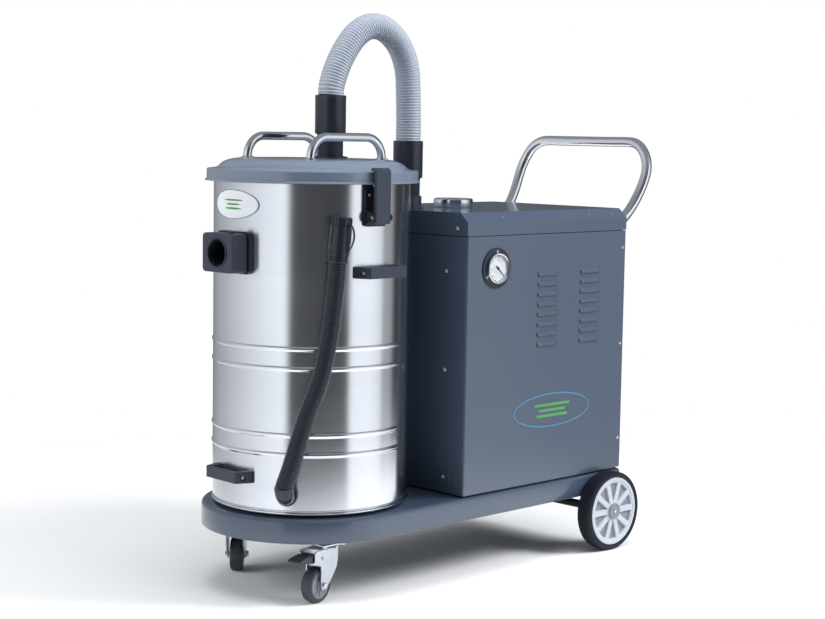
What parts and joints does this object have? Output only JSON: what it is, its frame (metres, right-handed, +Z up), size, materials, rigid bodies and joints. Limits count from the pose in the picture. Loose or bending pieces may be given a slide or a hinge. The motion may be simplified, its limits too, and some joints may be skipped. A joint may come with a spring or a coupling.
{
  "type": "industrial wet and dry vacuum cleaner",
  "caption": "Steel collecting drum and louvred blower cabinet on a wheeled platform, joined by a ribbed suction hose, with push handle, latches, drain hose and gauge.",
  "frame": {"origin": "middle of the footprint on the floor, the centre of the box's bottom face", "axes": "+Z up, -Y to the front where the drum and the tank inlet are, +X to the right-hand side with the drain hose and the gauge"},
  "size_m": [0.568, 1.2387, 1.2895],
  "materials": {
    "paint_dark": "semi-gloss blue-grey powder coat",
    "paint_lid": "semi-gloss lighter blue-grey paint",
    "frame_black": "black primer",
    "drum_steel": "brushed stainless sheet",
    "polished_steel": "polished stainless tube",
    "zinc": "zinc-plated pressing",
    "black_plastic": "black moulded plastic",
    "slate_plastic": "dark slate moulded plastic",
    "hose_grey": "ribbed grey PVC hose",
    "hose_black": "corrugated black hose",
    "rim_white": "white moulded rim",
    "hub_grey": "grey moulded cap and hub",
    "tyre_black": "dark rubber tyre",
    "caster_grey": "dark grey rubber tread on a grey hub",
    "seal_rubber": "black rubber",
    "cast_aluminium": "cast aluminium",
    "filter_cloth": "white needle-felt",
    "dial_white": "white dial in a black case",
    "needle_black": "black pointer",
    "gauge_glass": "clear window",
    "float_white": "hollow white ball"
  },
  "bodies": {
    "trolley": {"platform": "paint_dark", "chassis_frame": "frame_black", "rear_axle": "zinc", "axle_end_caps": "hub_grey", "caster_plates": "zinc", "drum_seat": "seal_rubber", "cabinet_base": "frame_black", "cabinet_side_right": "paint_dark", "cabinet_side_left": "paint_dark", "cabinet_front_panel": "paint_dark", "cabinet_rear_panel": "paint_dark", "cabinet_cover": "paint_dark", "cabinet_screws": "polished_steel", "exhaust_outlet": "polished_steel", "suction_port": "black_plastic", "push_handle": "polished_steel", "push_handle_flanges": "polished_steel", "gauge_case": "dial_white", "gauge_glass": "gauge_glass", "blower_housing": "cast_aluminium", "blower_motor": "cast_aluminium", "blower_mounts": "seal_rubber", "blower_pipework": "black_plastic", "switch_box": "black_plastic", "cable_gland": "black_plastic"},
    "right_wheel": {"right_tyre": "tyre_black", "right_rim": "rim_white"},
    "left_wheel": {"left_tyre": "tyre_black", "left_rim": "rim_white"},
    "caster_right": {"caster_right_fork": "zinc"},
    "caster_right_roller": {"caster_right_wheel": "caster_grey"},
    "caster_right_brake": {"caster_right_pedal": "black_plastic"},
    "caster_left": {"caster_left_fork": "zinc"},
    "caster_left_roller": {"caster_left_wheel": "caster_grey"},
    "caster_left_brake": {"caster_left_pedal": "black_plastic"},
    "impeller": {"blower_impeller": "cast_aluminium"},
    "needle": {"gauge_needle": "needle_black"},
    "knob": {"switch_knob": "black_plastic"},
    "drum": {"drum_shell": "drum_steel", "carry_handles": "slate_plastic", "tipping_handle": "slate_plastic", "latch_bases": "black_plastic", "inlet_block": "black_plastic", "drain_elbow": "hose_black", "drain_hose": "hose_black", "drain_cuff": "black_plastic", "drain_clip": "black_plastic", "filter_collar": "black_plastic", "filter_bag": "filter_cloth"},
    "inlet_release": {"inlet_button": "slate_plastic"},
    "drain_stopper": {"drain_cap": "black_plastic"},
    "latch_right": {"latch_lever_right": "slate_plastic"},
    "latch_left": {"latch_lever_left": "slate_plastic"},
    "lid": {"lid": "paint_lid", "lid_gasket": "seal_rubber", "lid_handles": "polished_steel", "lid_port": "black_plastic"},
    "float": {"float_ball": "float_white"},
    "hose": {"suction_hose": "hose_grey", "hose_cuffs": "black_plastic"}
  },
  "joints": [
    {"name": "right_wheel_spin", "type": "hinge", "parent": "trolley", "child": "right_wheel", "pos_m": [0, 0.408, 0.097], "axis": [1, 0, 0], "continuous": true},
    {"name": "left_wheel_spin", "type": "hinge", "parent": "trolley", "child": "left_wheel", "pos_m": [0, 0.408, 0.097], "axis": [1, 0, 0], "continuous": true},
    {"name": "caster_right_swivel", "type": "hinge", "parent": "trolley", "child": "caster_right", "pos_m": [0.152, -0.438, 0.123], "axis": [0, 0, 1], "continuous": true},
    {"name": "caster_right_roll", "type": "hinge", "parent": "caster_right", "child": "caster_right_roller", "pos_m": [0.15782, -0.46539, 0.039], "axis": [0.9781, 0.2079, 0], "continuous": true},
    {"name": "caster_right_pedal", "type": "hinge", "parent": "caster_right", "child": "caster_right_brake", "pos_m": [0.15865, -0.4693, 0.1], "axis": [0.9781, 0.2079, 0], "range_deg": [0, 10]},
    {"name": "caster_left_swivel", "type": "hinge", "parent": "trolley", "child": "caster_left", "pos_m": [-0.152, -0.438, 0.123], "axis": [0, 0, 1], "continuous": true},
    {"name": "caster_left_roll", "type": "hinge", "parent": "caster_left", "child": "caster_left_roller", "pos_m": [-0.1718, -0.4182, 0.039], "axis": [-0.7071, -0.7071, 0], "continuous": true},
    {"name": "caster_left_pedal", "type": "hinge", "parent": "caster_left", "child": "caster_left_brake", "pos_m": [-0.17463, -0.41537, 0.1], "axis": [-0.7071, -0.7071, 0], "range_deg": [0, 10]},
    {"name": "impeller_spin", "type": "hinge", "parent": "trolley", "child": "impeller", "pos_m": [0, 0.07, 0.38], "axis": [0, 1, 0], "continuous": true},
    {"name": "gauge_needle_turn", "type": "hinge", "parent": "trolley", "child": "needle", "pos_m": [0.2425, 0.007, 0.713], "axis": [1, 0, 0], "range_deg": [0, 270], "stiffness_Nm_per_rad": 0.0001},
    {"name": "switch_turn", "type": "hinge", "parent": "trolley", "child": "knob", "pos_m": [0.11, 0.5, 0.706], "axis": [0, 1, 0], "range_deg": [0, 90]},
    {"name": "drum_lift", "type": "slide", "parent": "trolley", "child": "drum", "axis": [0, 0, 1], "range_m": [0, 0.12]},
    {"name": "inlet_release_press", "type": "slide", "parent": "drum", "child": "inlet_release", "axis": [0, 0, -1], "range_m": [0, 0.003], "stiffness_N_per_m": 800},
    {"name": "drain_cap_pull", "type": "slide", "parent": "drum", "child": "drain_stopper", "axis": [0.0383, 0.0645, 0.9972], "range_m": [0, 0.05]},
    {"name": "latch_right_open", "type": "hinge", "parent": "drum", "child": "latch_right", "pos_m": [0.24517, -0.36716, 0.838], "axis": [0.0819, 0.9966, 0], "range_deg": [0, 130]},
    {"name": "latch_left_open", "type": "hinge", "parent": "drum", "child": "latch_left", "pos_m": [-0.24517, -0.32684, 0.838], "axis": [-0.0819, -0.9966, 0], "range_deg": [0, 130]},
    {"name": "lid_lift", "type": "slide", "parent": "drum", "child": "lid", "axis": [0, 0, 1], "range_m": [0, 0.1]},
    {"name": "float_rise", "type": "slide", "parent": "lid", "child": "float", "axis": [0, 0, 1], "range_m": [0, 0.024]},
    {"name": "hose_pull", "type": "slide", "parent": "lid", "child": "hose", "axis": [0, 0, 1], "range_m": [0, 0.1]}
  ],
  "couplings": [
    {"joint": "latch_right_open", "follows": "lid_lift", "rad_per_m": 22.6},
    {"joint": "latch_left_open", "follows": "lid_lift", "rad_per_m": 22.6}
  ]
}
